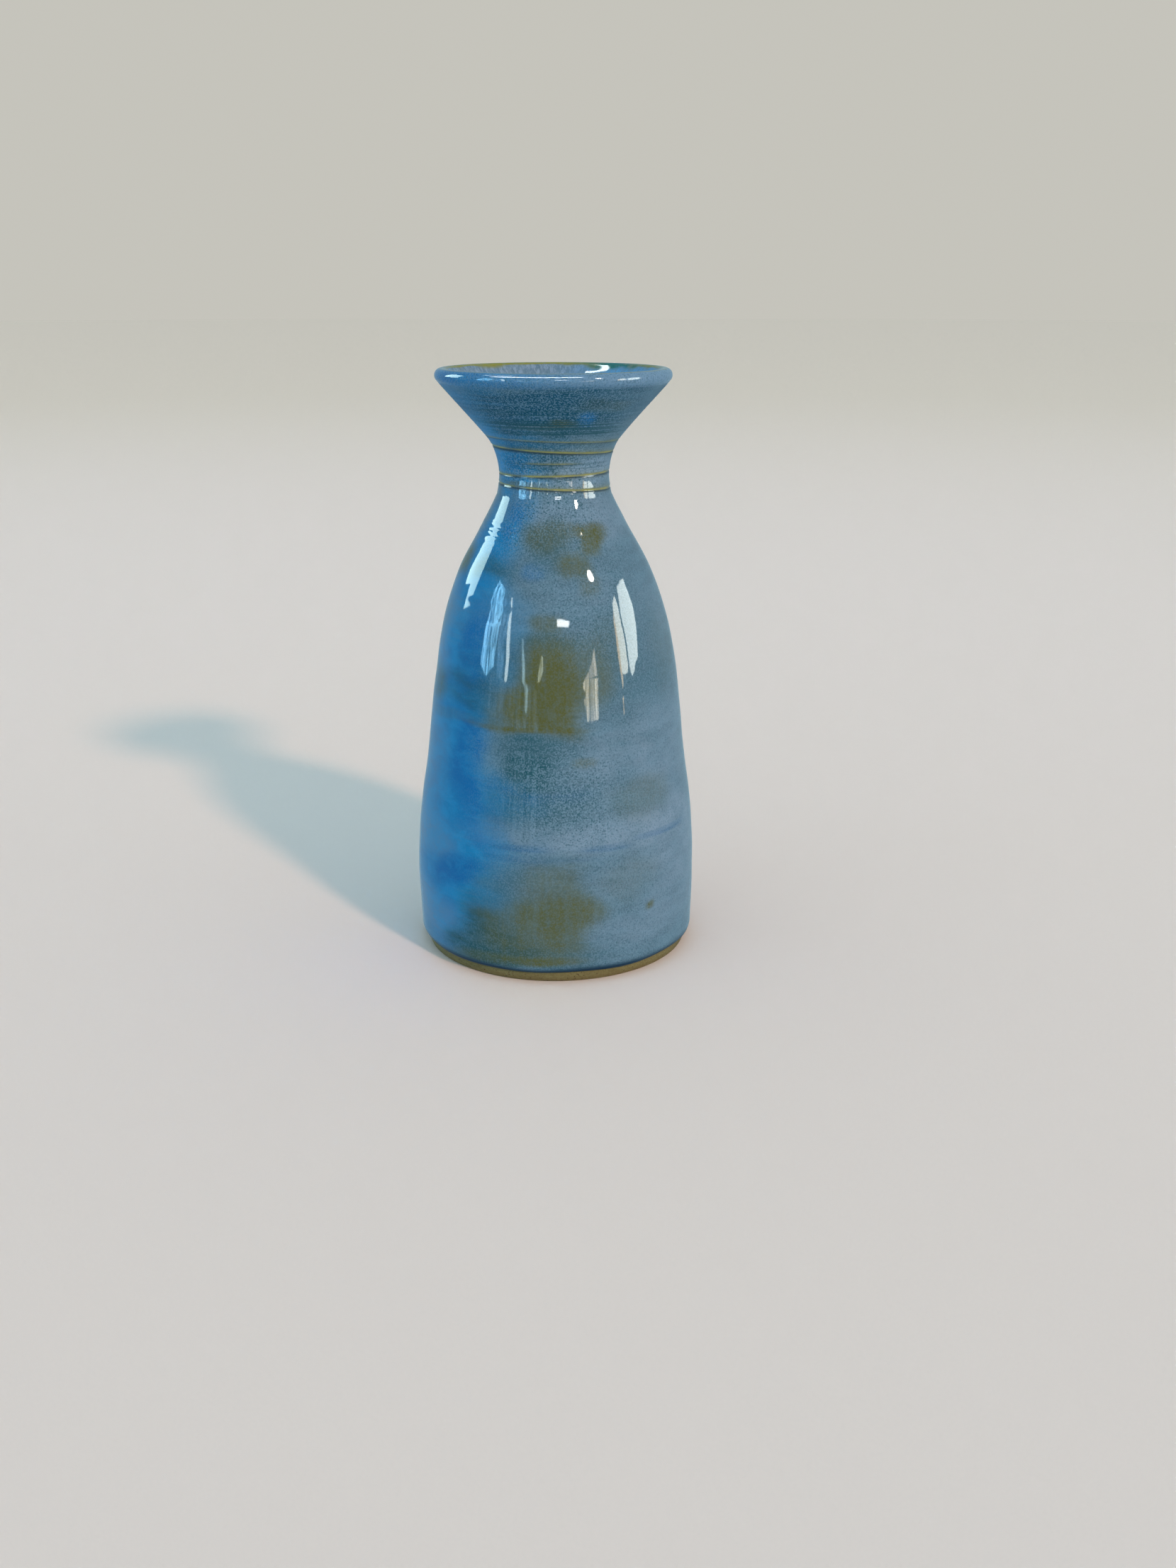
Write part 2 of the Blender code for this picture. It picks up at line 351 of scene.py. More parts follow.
def smooth(low, high, value):
    """0 below low, 1 above high, and a soft step between."""
    t = np.clip((value - low) / (high - low), 0.0, 1.0)
    return t * t * (3 - 2 * t)


def lip_point(angle):
    """(radius, height) on the round lip."""
    half = LIP_THICKNESS / 2
    turn = np.radians(angle)
    return LIP_RADIUS + half * np.cos(turn), HEIGHT / MM - half + half * np.sin(turn)


def outer_radius(heights):
    """Radius of the outside: the body, the small ledge under the neck, the neck and its flare."""
    body = through(BODY, np.minimum(heights, BODY[-1][0]))
    neck = through(NECK, np.clip(heights, NECK[0][0], NECK[-1][0]))
    radius = body + (neck - body) * smooth(BODY[-1][0] - 0.3, NECK[0][0] + 0.5, heights)
    lip_radius, lip_height = lip_point(LIP_ANGLES[0])
    above = np.clip((heights - NECK[-1][0]) / (lip_height - NECK[-1][0]), 0.0, 1.0)
    return radius + (lip_radius - NECK[-1][1]) * above


def inner_radius(heights):
    """Radius of the inside: the funnel, the throat and the wall of the belly."""
    lip_radius, lip_height = lip_point(LIP_ANGLES[1])
    above = np.clip((heights - BORE[0][0]) / (lip_height - BORE[0][0]), 0.0, 1.0)
    return through(BORE, np.minimum(heights, BORE[0][0])) + (lip_radius - BORE[0][1]) * above


def outer_heights():
    """Heights of the rings on the outside, close together where a line is cut."""
    heights = [BODY[0][0]]
    top = lip_point(LIP_ANGLES[0])[1]
    while heights[-1] < top - 0.2:
        height = heights[-1]
        nearest = min(abs(height - line[0]) for line in CUT_LINES)
        if nearest < LINE_REACH:
            step = LINE_STEP
        elif 126.0 < height < 144.0 or 114.5 < height < 121.5:
            step = FINE_STEP
        else:
            step = BODY_STEP if height < 126.0 else FLARE_STEP
        heights.append(height + step)
    return np.array(heights[:-1] + [top])


# ------------------------------------------------------------
# The grid: one row for each ring, from the glaze roll at the foot round to the inside floor

ANGLE = np.linspace(0.0, 360.0, SIDES, endpoint=False)
TURN = np.radians(ANGLE)


def rows_of(radius, height):
    """Rings of one radius and height each, as two grids."""
    ones = np.ones(SIDES)
    return np.outer(radius, ones), np.outer(height, ones)


def line_rise(heights):
    """How far the cut lines rise on the left, carried smoothly over the rings between them."""
    places = [124.0] + [line[0] for line in reversed(CUT_LINES)] + [148.0]
    rises = [0.0] + [line[1] for line in reversed(CUT_LINES)] + [0.0]
    return np.interp(heights, places, rises)


def outer_rows():
    """The glaze roll and the outside, and the height of each ring on the cut lines' scale."""
    turn = np.radians(np.linspace(ROLL_START, 0.0, ROLL_ROWS + 1)[:-1])
    centre = BODY[0][1] - ROLL_WIDTH
    roll = rows_of(centre + ROLL_WIDTH * np.cos(turn), BODY[0][0] + ROLL_HEIGHT * np.sin(turn))
    heights = outer_heights()
    level = heights[:, None] - np.outer(line_rise(heights), np.sin(TURN))
    on_lines = np.concatenate([np.zeros(ROLL_ROWS), heights])
    return np.vstack([roll[0], outer_radius(level)]), np.vstack([roll[1], level]), on_lines


def lip_rows():
    """The round of the lip."""
    return rows_of(*lip_point(np.linspace(*LIP_ANGLES, LIP_ROWS)))


def inner_rows():
    """The funnel, the wall, the rounded corner and the floor."""
    top = lip_point(LIP_ANGLES[1])[1]
    funnel = np.arange(top, BORE[2][0], -FUNNEL_STEP)
    wall = np.linspace(BORE[2][0], BORE[-1][0], WALL_ROWS)
    heights = np.append(funnel, wall)
    corner_turn = np.radians(np.linspace(0.0, -90.0, CORNER_ROWS))
    corner = (BORE[-1][1] - FLOOR_CORNER + FLOOR_CORNER * np.cos(corner_turn),
              FLOOR_HEIGHT + FLOOR_CORNER * (1 + np.sin(corner_turn)))
    floor = np.linspace(corner[0][-1], FLOOR_CENTRE, FLOOR_ROWS + 1)[1:]
    radius = np.concatenate([inner_radius(heights), corner[0], floor])
    height = np.concatenate([heights, corner[1], np.full(len(floor), FLOOR_HEIGHT)])
    return rows_of(radius, height)


def along_rows(values):
    """How far along the outline each row lies, in mm."""
    radius, height = values
    steps = np.hypot(np.diff(radius.mean(1)), np.diff(height.mean(1)))
    return np.concatenate([[0.0], np.cumsum(steps)])


def leaned(radius, height):
    """Grid points in mm, with the pot's lean."""
    shift = np.interp(height, *np.array(LEAN).T)
    return np.stack([radius * np.sin(TURN) + shift, -radius * np.cos(TURN), height], -1)


def normals_of(points):
    """Unit normals of a grid that closes on itself round the pot. They point out of the wall."""
    around = np.roll(points, -1, 1) - np.roll(points, 1, 1)
    along = np.gradient(points, axis=0)
    normal = np.cross(around, along)
    return normal / np.linalg.norm(normal, axis=-1, keepdims=True)


def waves(seed, turns, rises):
    """Soft random waves of about unit size over the whole grid: the most waves round the pot, and
    the lowest and highest number of radians per mm along it."""
    random = np.random.default_rng(seed)
    total = np.zeros(ALONG.shape)
    for _ in range(WAVE_COUNT):
        around = random.integers(-turns, turns + 1)
        rise = random.uniform(*rises)
        total += np.cos(around * TURN + rise * ALONG + random.uniform(0, 2 * math.pi))
    return total / math.sqrt(WAVE_COUNT / 2)


outer_radii, outer_levels, on_lines = outer_rows()
lip_radii, lip_levels = lip_rows()
inner_radii, inner_levels = inner_rows()
# Neighbouring coats share a ring, so the next one starts one row on.
RADIUS = np.vstack([outer_radii, lip_radii[1:], inner_radii[1:]])
LEVEL = np.vstack([outer_levels, lip_levels[1:], inner_levels[1:]])
LAST_OUTER = len(on_lines) - 1
LAST_LIP = LAST_OUTER + len(lip_radii) - 1
LAST_ROW = len(RADIUS) - 1
DISTANCE = along_rows((RADIUS, LEVEL))
ALONG = np.outer(DISTANCE, np.ones(SIDES))
ROUND = np.outer(np.ones(len(RADIUS)), ANGLE)
ROW = np.arange(len(RADIUS))[:, None]
ON_OUTSIDE = (ROW <= LAST_OUTER).astype(float)
ON_INSIDE = (ROW > LAST_LIP).astype(float)
ON_LIP = 1.0 - ON_OUTSIDE - ON_INSIDE
# The height of each ring where no line rises or falls: a cut line follows one value all round.
HEIGHT_ON_LINES = np.zeros((len(RADIUS), 1))
HEIGHT_ON_LINES[:LAST_OUTER + 1, 0] = on_lines
# How far round the lip's section each row lies, in degrees. It goes on rising down the inside.
LIP_SHARE = (ROW - LAST_OUTER) / (LAST_LIP - LAST_OUTER)
LIP_TURN = LIP_ANGLES[0] + LIP_SHARE * (LIP_ANGLES[1] - LIP_ANGLES[0]) + np.zeros(RADIUS.shape)


def turned_from(angle):
    """Degrees from an angle round the pot, between -180 and 180."""
    return (ROUND - angle + 180.0) % 360.0 - 180.0


def shown_along(stretch):
    """How much of a cut line shows at each angle: all of it, or one stretch with soft ends."""
    if stretch is None:
        return 1.0
    angle, half_spread = stretch
    return np.exp(-(turned_from(angle) / half_spread) ** 4)


# ------------------------------------------------------------
# Fine shape of the glazed surface, in mm along its normal


def cut_line_depth():
    """The cut lines, each a groove between two low burrs."""
    depth = np.zeros(RADIUS.shape)
    for height, _, deep, half_width, stretch in CUT_LINES:
        away = (HEIGHT_ON_LINES - height) / half_width
        burrs = 0.22 * deep * np.exp(-((np.abs(away) - 2.0) / 0.9) ** 2)
        groove = -deep * np.exp(-away ** 2) + burrs
        depth += groove * shown_along(stretch) * ON_OUTSIDE
    return depth


def ring_relief():
    """The throwing rings, which wander and come and go, and the ridges on the shoulder."""
    relief = np.zeros(RADIUS.shape)
    drift = waves(SEEDS["ring drift"], 2, (0.02, 0.10))
    swell = 0.6 + 0.4 * waves(SEEDS["ring swell"], 3, (0.05, 0.2))
    for low, high, pitch, depth in THROWING_RINGS:
        inside = smooth(low, low + 3.0, LEVEL) * (1 - smooth(high - 3.0, high, LEVEL))
        ring = np.sin(2 * math.pi * LEVEL / pitch + TURN + 1.3 * drift)
        relief += depth * ring * swell * inside * ON_OUTSIDE
    angle, spread, height, half_height, pitch, depth = SHOULDER_RIDGES
    away = turned_from(angle)
    near = np.exp(-(away / spread) ** 2 - ((LEVEL - height) / half_height) ** 4)
    ridge = np.sin(2 * math.pi * LEVEL / pitch + 0.4 * drift + RIDGE_SLANT * away)
    relief += depth * ridge * near * ON_OUTSIDE
    return relief


def surface_relief():
    """Everything that stands out of the smooth outline or is cut into it."""
    relief = cut_line_depth() + ring_relief()
    above_foot = 1 - smooth(0.0, 6.0, LEDGE_FOOT - LEVEL)
    ledge = smooth(-1.6, -0.2, HEIGHT_ON_LINES - LEDGE_EDGE) * above_foot
    swell_height, half_height = LEDGE_SWELL
    under_ledge = np.exp(-((HEIGHT_ON_LINES - swell_height) / half_height) ** 2)
    relief += LEDGE * (under_ledge - 0.3 * ledge) * ON_OUTSIDE
    relief += UNEVEN * waves(SEEDS["surface"], 4, (0.10, 0.35))
    relief += ON_LIP * UNEVEN_LIP * waves(SEEDS["lip"], 5, (0.0, 0.3))
    start, top, end = SHOULDER_SWELL
    relief += SHOULDER_OUT * (smooth(start, top, LEVEL) - smooth(top, end, LEVEL)) * ON_OUTSIDE
    depth, pitch = INSIDE_RINGS
    rings = depth * np.sin(2 * math.pi * LEVEL / pitch + TURN)
    relief += ON_INSIDE * rings * smooth(0, 4, 150 - LEVEL)
    roll = 1 - smooth(0.0, 3.5, ALONG)
    return relief + roll * UNEVEN_ROLL * waves(SEEDS["roll"], 9, (0.0, 0.2))


# ------------------------------------------------------------
# Where each tone of the glaze lies


def patches(places, seed):
    """A map of soft patches with uneven edges: 0 between them, and about their strength inside."""
    slide = 2.6 * waves(seed, 7, (0.05, 0.45))
    rise = 0.9 * waves(seed + 1, 12, (0.05, 0.3))
    total = np.zeros(RADIUS.shape)
    for angle, height, wide, tall, strength in places:
        across = np.abs(turned_from(angle) + slide * min(1.0, wide / 14.0)) / wide
        up = np.abs(LEVEL - height + rise * min(1.0, tall / 4.0)) / tall
        reach = (across ** 2.6 + up ** 2.6) ** (1 / 2.6)
        share = 1 - smooth(0.45, 1.45, reach)
        total += strength * share * (1 - np.minimum(total, 1.0))
    return total * ON_OUTSIDE


def line_colour():
    """Amber where the glaze runs thin over the sharp upper edge of each cut line."""
    total = np.zeros(RADIUS.shape)
    uneven = 0.80 + 0.20 * waves(SEEDS["worn line"], 14, (0.0, 0.1))
    for height, _, deep, half_width, stretch in CUT_LINES:
        above = HEIGHT_ON_LINES - height
        band = 0.85 * np.exp(-((above - 0.5 * half_width) / (0.80 * half_width)) ** 2)
        fade = 0.32 * np.exp(-np.maximum(above, 0.0) / 0.7) * (above > 0.0)
        worn = uneven * shown_along(stretch)
        total = np.maximum(total, (band + fade) * worn * min(1.0, 0.2 + deep / 0.13))
    return np.clip(total, 0, 1) * ON_OUTSIDE


def line_halo():
    """Olive glaze either side of each cut line."""
    total = np.zeros(RADIUS.shape)
    for height, _, deep, half_width, stretch in CUT_LINES:
        band = np.exp(-((HEIGHT_ON_LINES - height) / (2.4 * half_width)) ** 2)
        band = band * shown_along(stretch)
        total = np.maximum(total, band * (0.30 + 2.5 * deep))
    return total * ON_OUTSIDE


def line_shadow():
    """Painted shade in the bottom of each cut line, where the groove's own shadow falls."""
    total = np.zeros(RADIUS.shape)
    for height, _, deep, half_width, stretch in CUT_LINES:
        band = np.exp(-((HEIGHT_ON_LINES - height + half_width) / (0.9 * half_width)) ** 2)
        band = band * shown_along(stretch)
        total = np.maximum(total, band * min(1.0, deep / 0.11))
    return total * ON_OUTSIDE


def navy_map():
    """Where the glaze is darkest: the roll at the foot and its upper edge, pooled glaze with painted
    shade where it turns under, and painted shade in the cut lines.
    """
    edge = ALONG + 0.3 * waves(SEEDS["pooled edge"], 8, (0.0, 0.2))
    roll = (1 - smooth(1.3, 3.6, edge)) * ON_OUTSIDE
    return np.clip(np.maximum(roll, 0.80 * line_shadow()), 0, 1)


def crest_map():
    """The top of the lip, where the glaze broke thin and olive. It is broader at the back right."""
    ragged = 3.5 * waves(SEEDS["crest"], 26, (0.0, 0.1))
    back = smooth(-0.4, 0.5, -np.cos(TURN))
    wider = 12.0 * np.exp(-(turned_from(CREST_ANGLE) / 26.0) ** 2) + 15.0 * back
    low = smooth(60.0, 76.0, LIP_TURN + 0.4 * ragged)
    high = 1 - smooth(112.0, 124.0, LIP_TURN + ragged - wider)
    return low * high * np.clip(ON_LIP + ON_INSIDE, 0, 1) * (0.45 + 0.55 * back)


def band_between(start, full, fading, end):
    """1 in a band of heights, with soft edges."""
    return smooth(start, full, LEVEL) * (1 - smooth(fading, end, LEVEL))


def wheel_marks():
    """Where the wheel's fine dark lines run, at the front and at the back."""
    flare = band_between(*WHEEL_ON_FLARE)
    neck = band_between(*WHEEL_ON_NECK)
    front = np.exp(-(turned_from(4.0) / 62.0) ** 4) + np.exp(-(turned_from(186.0) / 60.0) ** 4)
    return np.maximum(flare, 0.7 * neck) * front * ON_OUTSIDE


def tone_maps():
    """The maps that the glaze material reads, by name. Most run from 0 to 1."""
    lip_start, lip_end = DISTANCE[LAST_OUTER], DISTANCE[LAST_LIP]
    lip = smooth(lip_start - 1.6, lip_start + 0.6, ALONG)
    lip = lip * (1 - smooth(lip_end - 1.0, lip_end + 2.0, ALONG))
    off_lip = 1 - lip
    shade_under_lip = 1 - smooth(-25.0, 12.0, LIP_TURN)
    left = 0.5 - 0.5 * np.sin(TURN)
    maps = {
        "olive": np.maximum(patches(OLIVE, SEEDS["olive"]), line_halo()),
        "teal": patches(TEAL, SEEDS["teal"]),
        # On the lip the tone runs from deep azure on the left to pale on the right: partly the
        # glaze's own tone and partly painted light, cool from the left and warm from the right.
        "azure": patches(AZURE, SEEDS["azure"]) * off_lip + lip * (0.10 + 1.1 * left ** 1.5),
        "deep": patches(DEEP, SEEDS["deep"]) * off_lip + 0.75 * lip * left ** 1.5,
        "pale": patches(PALE, SEEDS["pale"]) * off_lip + lip * (0.75 - 1.3 * left),
        "streak": patches(BLUE_STREAKS, SEEDS["streak"]),
        "navy": navy_map(),
        "amber": line_colour(),
        "crest": crest_map(),
        "inside": smooth(104.0, 124.0, LIP_TURN),
        "lip": lip,
        # The flare's dark blue, partly painted shade, also runs onto the lower side of the lip as
        # painted shade under it.
        "flare": patches(FLARE_TONE_AND_SHADE, SEEDS["flare"]) * off_lip + 0.45 * lip * shade_under_lip,
        "right": 0.5 + 0.5 * np.sin(TURN) + np.zeros(RADIUS.shape),
        "wheel": wheel_marks() * off_lip,
        "green": np.exp(-(turned_from(CREST_ANGLE) / 20.0) ** 2),
    }
    maps["pale"] = np.clip(maps["pale"], 0, 1)
    # The crystals show most at the front and where they are listed, and least in olive and azure.
    front = 0.45 * np.exp(-(turned_from(5.0) / 62.0) ** 4) * ON_OUTSIDE
    grain = 0.25 + front + 0.75 * patches(SPECKLED, SEEDS["speckled"])
    quiet = np.minimum(maps["azure"] * (1 - smooth(104.0, 118.0, LEVEL)), 1.0)
    grain = grain * (1 - 0.75 * np.minimum(maps["olive"], 1.0)) * (1 - 0.85 * quiet)
    maps["grain"] = grain * off_lip + 0.80 * lip
    # They make the flare, the roll at the foot and the throat satin.
    flare = smooth(131.5, 134.5, HEIGHT_ON_LINES) * ON_OUTSIDE * off_lip
    roll = (1 - smooth(1.5, 3.0, ALONG)) * ON_OUTSIDE
    throat = 0.6 * smooth(lip_end + 8.0, lip_end + 14.0, ALONG)
    maps["satin"] = np.maximum(np.maximum(flare, roll), throat)
    return maps


# ------------------------------------------------------------
# Meshes


def skin(rings, loop):
    """Faces of the surface through these rings of vertices. A ring of one vertex is a pole."""
    starts = np.cumsum([0] + [len(ring) for ring in rings])
    here = np.arange(SIDES)
    pairs = [(number, number + 1) for number in range(len(rings) - 1)]
    if loop:
        pairs.append((len(rings) - 1, 0))
    faces = []
    for low, high in pairs:
        count_low, count_high = len(rings[low]), len(rings[high])
        corners = []
        if count_low > 1:
            corners += [starts[low] + here, starts[low] + (here + 1) % SIDES]
        elif count_high > 1:
            corners += [starts[low] + 0 * here]
        if count_high > 1:
            corners += [starts[high] + (here + 1) % SIDES, starts[high] + here]
        elif count_low > 1:
            corners += [starts[high] + 0 * here]
        if corners:
            faces += np.stack(corners, 1).tolist()
    return faces


def placed(name, data):
    """A new object in the scene with this mesh, light or camera."""
    made = bpy.data.objects.new(name, data)
    bpy.context.scene.collection.objects.link(made)
    return made


def mesh_object(name, rings, loop):
    """A smooth-shaded object through rings of points in mm."""
    mesh = bpy.data.meshes.new(name)
    points = np.vstack(rings) * MM
    mesh.from_pydata(points.tolist(), [], skin(rings, loop))
    mesh.shade_smooth()
    return placed(name, mesh)


def carry(mesh, name, values):
    """Gives each vertex its value of one tone map."""
    attribute = mesh.attributes.new(name, "FLOAT", "POINT")
    attribute.data.foreach_set("value", np.asarray(values, np.float32).ravel())


POINTS = leaned(RADIUS, LEVEL)
NORMALS = normals_of(POINTS)
POINTS = POINTS + NORMALS * surface_relief()[..., None]
NORMALS = normals_of(POINTS)
# The coat thins out over its last two millimetres, above the bare clay.
THICKNESS = THIN_END + (GLAZE - THIN_END) * smooth(0.0, 2.5, ALONG)
MAPS = tone_maps()
# The rows that the hidden faces and the clay under the glaze use: every one at the foot, and fewer
# up the outside, round the lip and down the inside.
HIDDEN_ROWS = [*range(16), *range(16, LAST_OUTER, 8), *range(LAST_OUTER, LAST_LIP, 4),
               *range(LAST_LIP, LAST_ROW, 3), LAST_ROW]


def behind(row, depth):
    """The ring that lies that deep under one row of the visible surface."""
    return POINTS[row] - NORMALS[row] * (THICKNESS[row] + depth)[:, None]


def coat(name, first, last):
    """One coat of glaze, from its first row to its last, closed by a hidden face behind it."""
    shown = list(range(first, last + 1))
    hidden = [row for row in reversed(HIDDEN_ROWS) if first <= row <= last]
    rings = [POINTS[row] for row in shown]
    if last == LAST_ROW:
        rings += [rings[-1].mean(0, keepdims=True), behind(last, 0.0).mean(0, keepdims=True)]
    rings += [behind(row, 0.0) for row in hidden]
    made = mesh_object(name, rings, loop=True)
    poles = 2 if last == LAST_ROW else 0

    def on_vertices(values, sign=1.0):
        """Values of the grid in the order of the vertices, with that sign on the hidden ones."""
        trailing = values.shape[2:]
        centre = np.broadcast_to(values[last].mean(0), (poles, *trailing))
        shown_part = values[shown].reshape(-1, *trailing)
        hidden_part = sign * values[hidden].reshape(-1, *trailing)
        return np.concatenate([shown_part, centre, hidden_part])

    for key, values in MAPS.items():
        carry(made.data, key, on_vertices(values))
    turn = np.radians(ROUND)
    around = [PATTERN_RADIUS * np.sin(turn), -PATTERN_RADIUS * np.cos(turn), ALONG]
    attribute = made.data.attributes.new("around", "FLOAT_VECTOR", "POINT")
    unrolled = on_vertices(np.stack(around, -1)) * MM
    attribute.data.foreach_set("vector", unrolled.astype(np.float32).ravel())
    made.data.normals_split_custom_set_from_vertices(on_vertices(NORMALS, -1.0).tolist())
    return made


def foot_rings():
    """Rings of the bare clay: the shallow recess, the foot ring and the band under the glaze."""
    inner = FOOT_RADIUS - FOOT_RING
    edge = FOOT_RADIUS - FOOT_EDGE
    outline = [
        (8.0, FOOT_RECESS), (18.0, FOOT_RECESS), (inner - 2.2, FOOT_RECESS),
        (inner - 1.2, FOOT_RECESS - 0.1), (inner - 0.5, FOOT_RECESS - 0.6), (inner - 0.1, 0.5),
        (inner + 0.3, 0.12), (inner + 0.9, 0.0), (inner + 3.0, 0.0), (inner + 5.5, 0.0), (edge, 0.0),
    ]
    for turn in np.radians(np.linspace(-72.0, 0.0, 5)):
        outline.append((edge + FOOT_EDGE * math.cos(turn), FOOT_EDGE + FOOT_EDGE * math.sin(turn)))
    for height in np.arange(FOOT_EDGE + TOOL_STEP, BAND_HEIGHT - 0.75, TOOL_STEP):
        share = (height - FOOT_EDGE) / (BAND_HEIGHT - FOOT_EDGE)
        band = FOOT_RADIUS + share * (BAND_RADIUS - FOOT_RADIUS) - 0.03
        marks = 0.030 * math.sin(height * 9.0) + 0.018 * math.sin(height * 23.0 + 1.0)
        outline.append((band + marks, height))
    radius, height = np.array(outline).T
    return list(leaned(*rows_of(radius, height)))


def thrown_clay():
    """The pot itself: bare at the foot, and everywhere else just under the glaze."""
    rings = [np.array([[LEAN[0][1], 0.0, FOOT_RECESS]])] + foot_rings()
    rings += [behind(row, SEAT) for row in HIDDEN_ROWS]
    rings.append(rings[-1].mean(0, keepdims=True))
    made = mesh_object("thrown_clay_body", rings, loop=False)
    made.data.set_sharp_from_angle(angle=math.radians(38))
    return made


# ------------------------------------------------------------
# Materials


class Surface:
    """One node material. Each method adds a node and returns its output."""

    def __init__(self, name):
        self.material = bpy.data.materials.new(name)
        self.material.use_nodes = True
        self.tree = self.material.node_tree
        self.tree.nodes.clear()
        self.object_place = self.add("ShaderNodeTexCoord").outputs["Object"]

    def add(self, kind, inputs=None, **settings):
        """A node with these settings. Each input is a value or the output of another node."""
        node = self.tree.nodes.new(kind)
        for key, value in settings.items():
            setattr(node, key, value)
        for key, value in (inputs or {}).items():
            socket = node.inputs[key]
            if isinstance(value, bpy.types.NodeSocket):
                self.tree.links.new(value, socket)
            elif socket.type == "RGBA":
                socket.default_value = (*value, 1.0)
            else:
                socket.default_value = value
        return node

    def carried(self, name):
        """A tone map of the mesh."""
        return self.add("ShaderNodeAttribute", attribute_name=name).outputs["Fac"]

    def around(self):
        """Position round the pot and along its outline, as if it were unrolled."""
        return self.add("ShaderNodeAttribute", attribute_name="around").outputs["Vector"]

    def product(self, first, second):
        return self.math("MULTIPLY", first, second)

    def math(self, operation, first, second):
        return self.add("ShaderNodeMath", {0: first, 1: second}, operation=operation).outputs[0]

    def mix(self, share, first, second):
        sockets = {MIX_FACTOR: share, MIX_FIRST: first, MIX_SECOND: second}
        return self.add("ShaderNodeMix", sockets, data_type="RGBA").outputs[MIX_RESULT]

    def step(self, value, low, high, top=1.0, start=0.0):
        """The start value below low and the top value above high, with a soft step between."""
        span = {"Value": value, "From Min": low, "From Max": high, "To Min": start, "To Max": top}
        return self.add("ShaderNodeMapRange", span, interpolation_type="SMOOTHSTEP").outputs[0]

    def noise(self, size, low=0.0, high=1.0, detail=3.0, roughness=0.55, place=None, warp=0.0):
        """Noise with lumps of that size in mm along x, y and z, stretched from low..high to 0..1."""
        scale = tuple(1.0 / (one * MM) for one in size)
        stretched = self.add("ShaderNodeVectorMath", {0: place or self.object_place, 1: scale},
                             operation="MULTIPLY").outputs[0]
        sockets = {"Vector": stretched, "Scale": 1.0, "Detail": detail, "Roughness": roughness,
                   "Distortion": warp}
        made = self.add("ShaderNodeTexNoise", sockets).outputs["Fac"]
        return self.step(made, low, high)

    def uneven(self, mask, noise, amount):
        """The mask made stronger and weaker by noise, so that its edge breaks up."""
        swing = self.math("MULTIPLY_ADD", noise, 2.0 * amount)
        swing.node.inputs[2].default_value = 1.0 - amount
        broken = self.product(mask, swing)
        broken.node.use_clamp = True
        return broken

    def tinted(self, colour, key, noise, amount, tone):
        """The colour, with the other tone where that tone map has it, broken up by noise."""
        return self.mix(self.uneven(self.carried(key), noise, amount), colour, tone)

    def glow(self, colour, strength=1.0):
        """The finished material of something that shines."""
        shader = self.add("ShaderNodeEmission", {"Color": colour, "Strength": strength}).outputs[0]
        self.add("ShaderNodeOutputMaterial", {"Surface": shader})
        return self.material

    def finish(self, colour, roughness, ior, height=None, relief=0.0, **extra):
        """The finished material, with fine relief of that many mm where a height is given."""
        sockets = {"Base Color": colour, "Roughness": roughness, "IOR": ior, **extra}
        if height is not None:
            bump = {"Height": height, "Distance": relief * MM, "Strength": 1.0}
            sockets["Normal"] = self.add("ShaderNodeBump", bump).outputs[0]
        shader = self.add("ShaderNodeBsdfPrincipled", sockets).outputs[0]
        self.add("ShaderNodeOutputMaterial", {"Surface": shader})
        return self.material


def scaled(colour, share):
    """The colour made darker or lighter."""
    return tuple(share * one for one in colour)


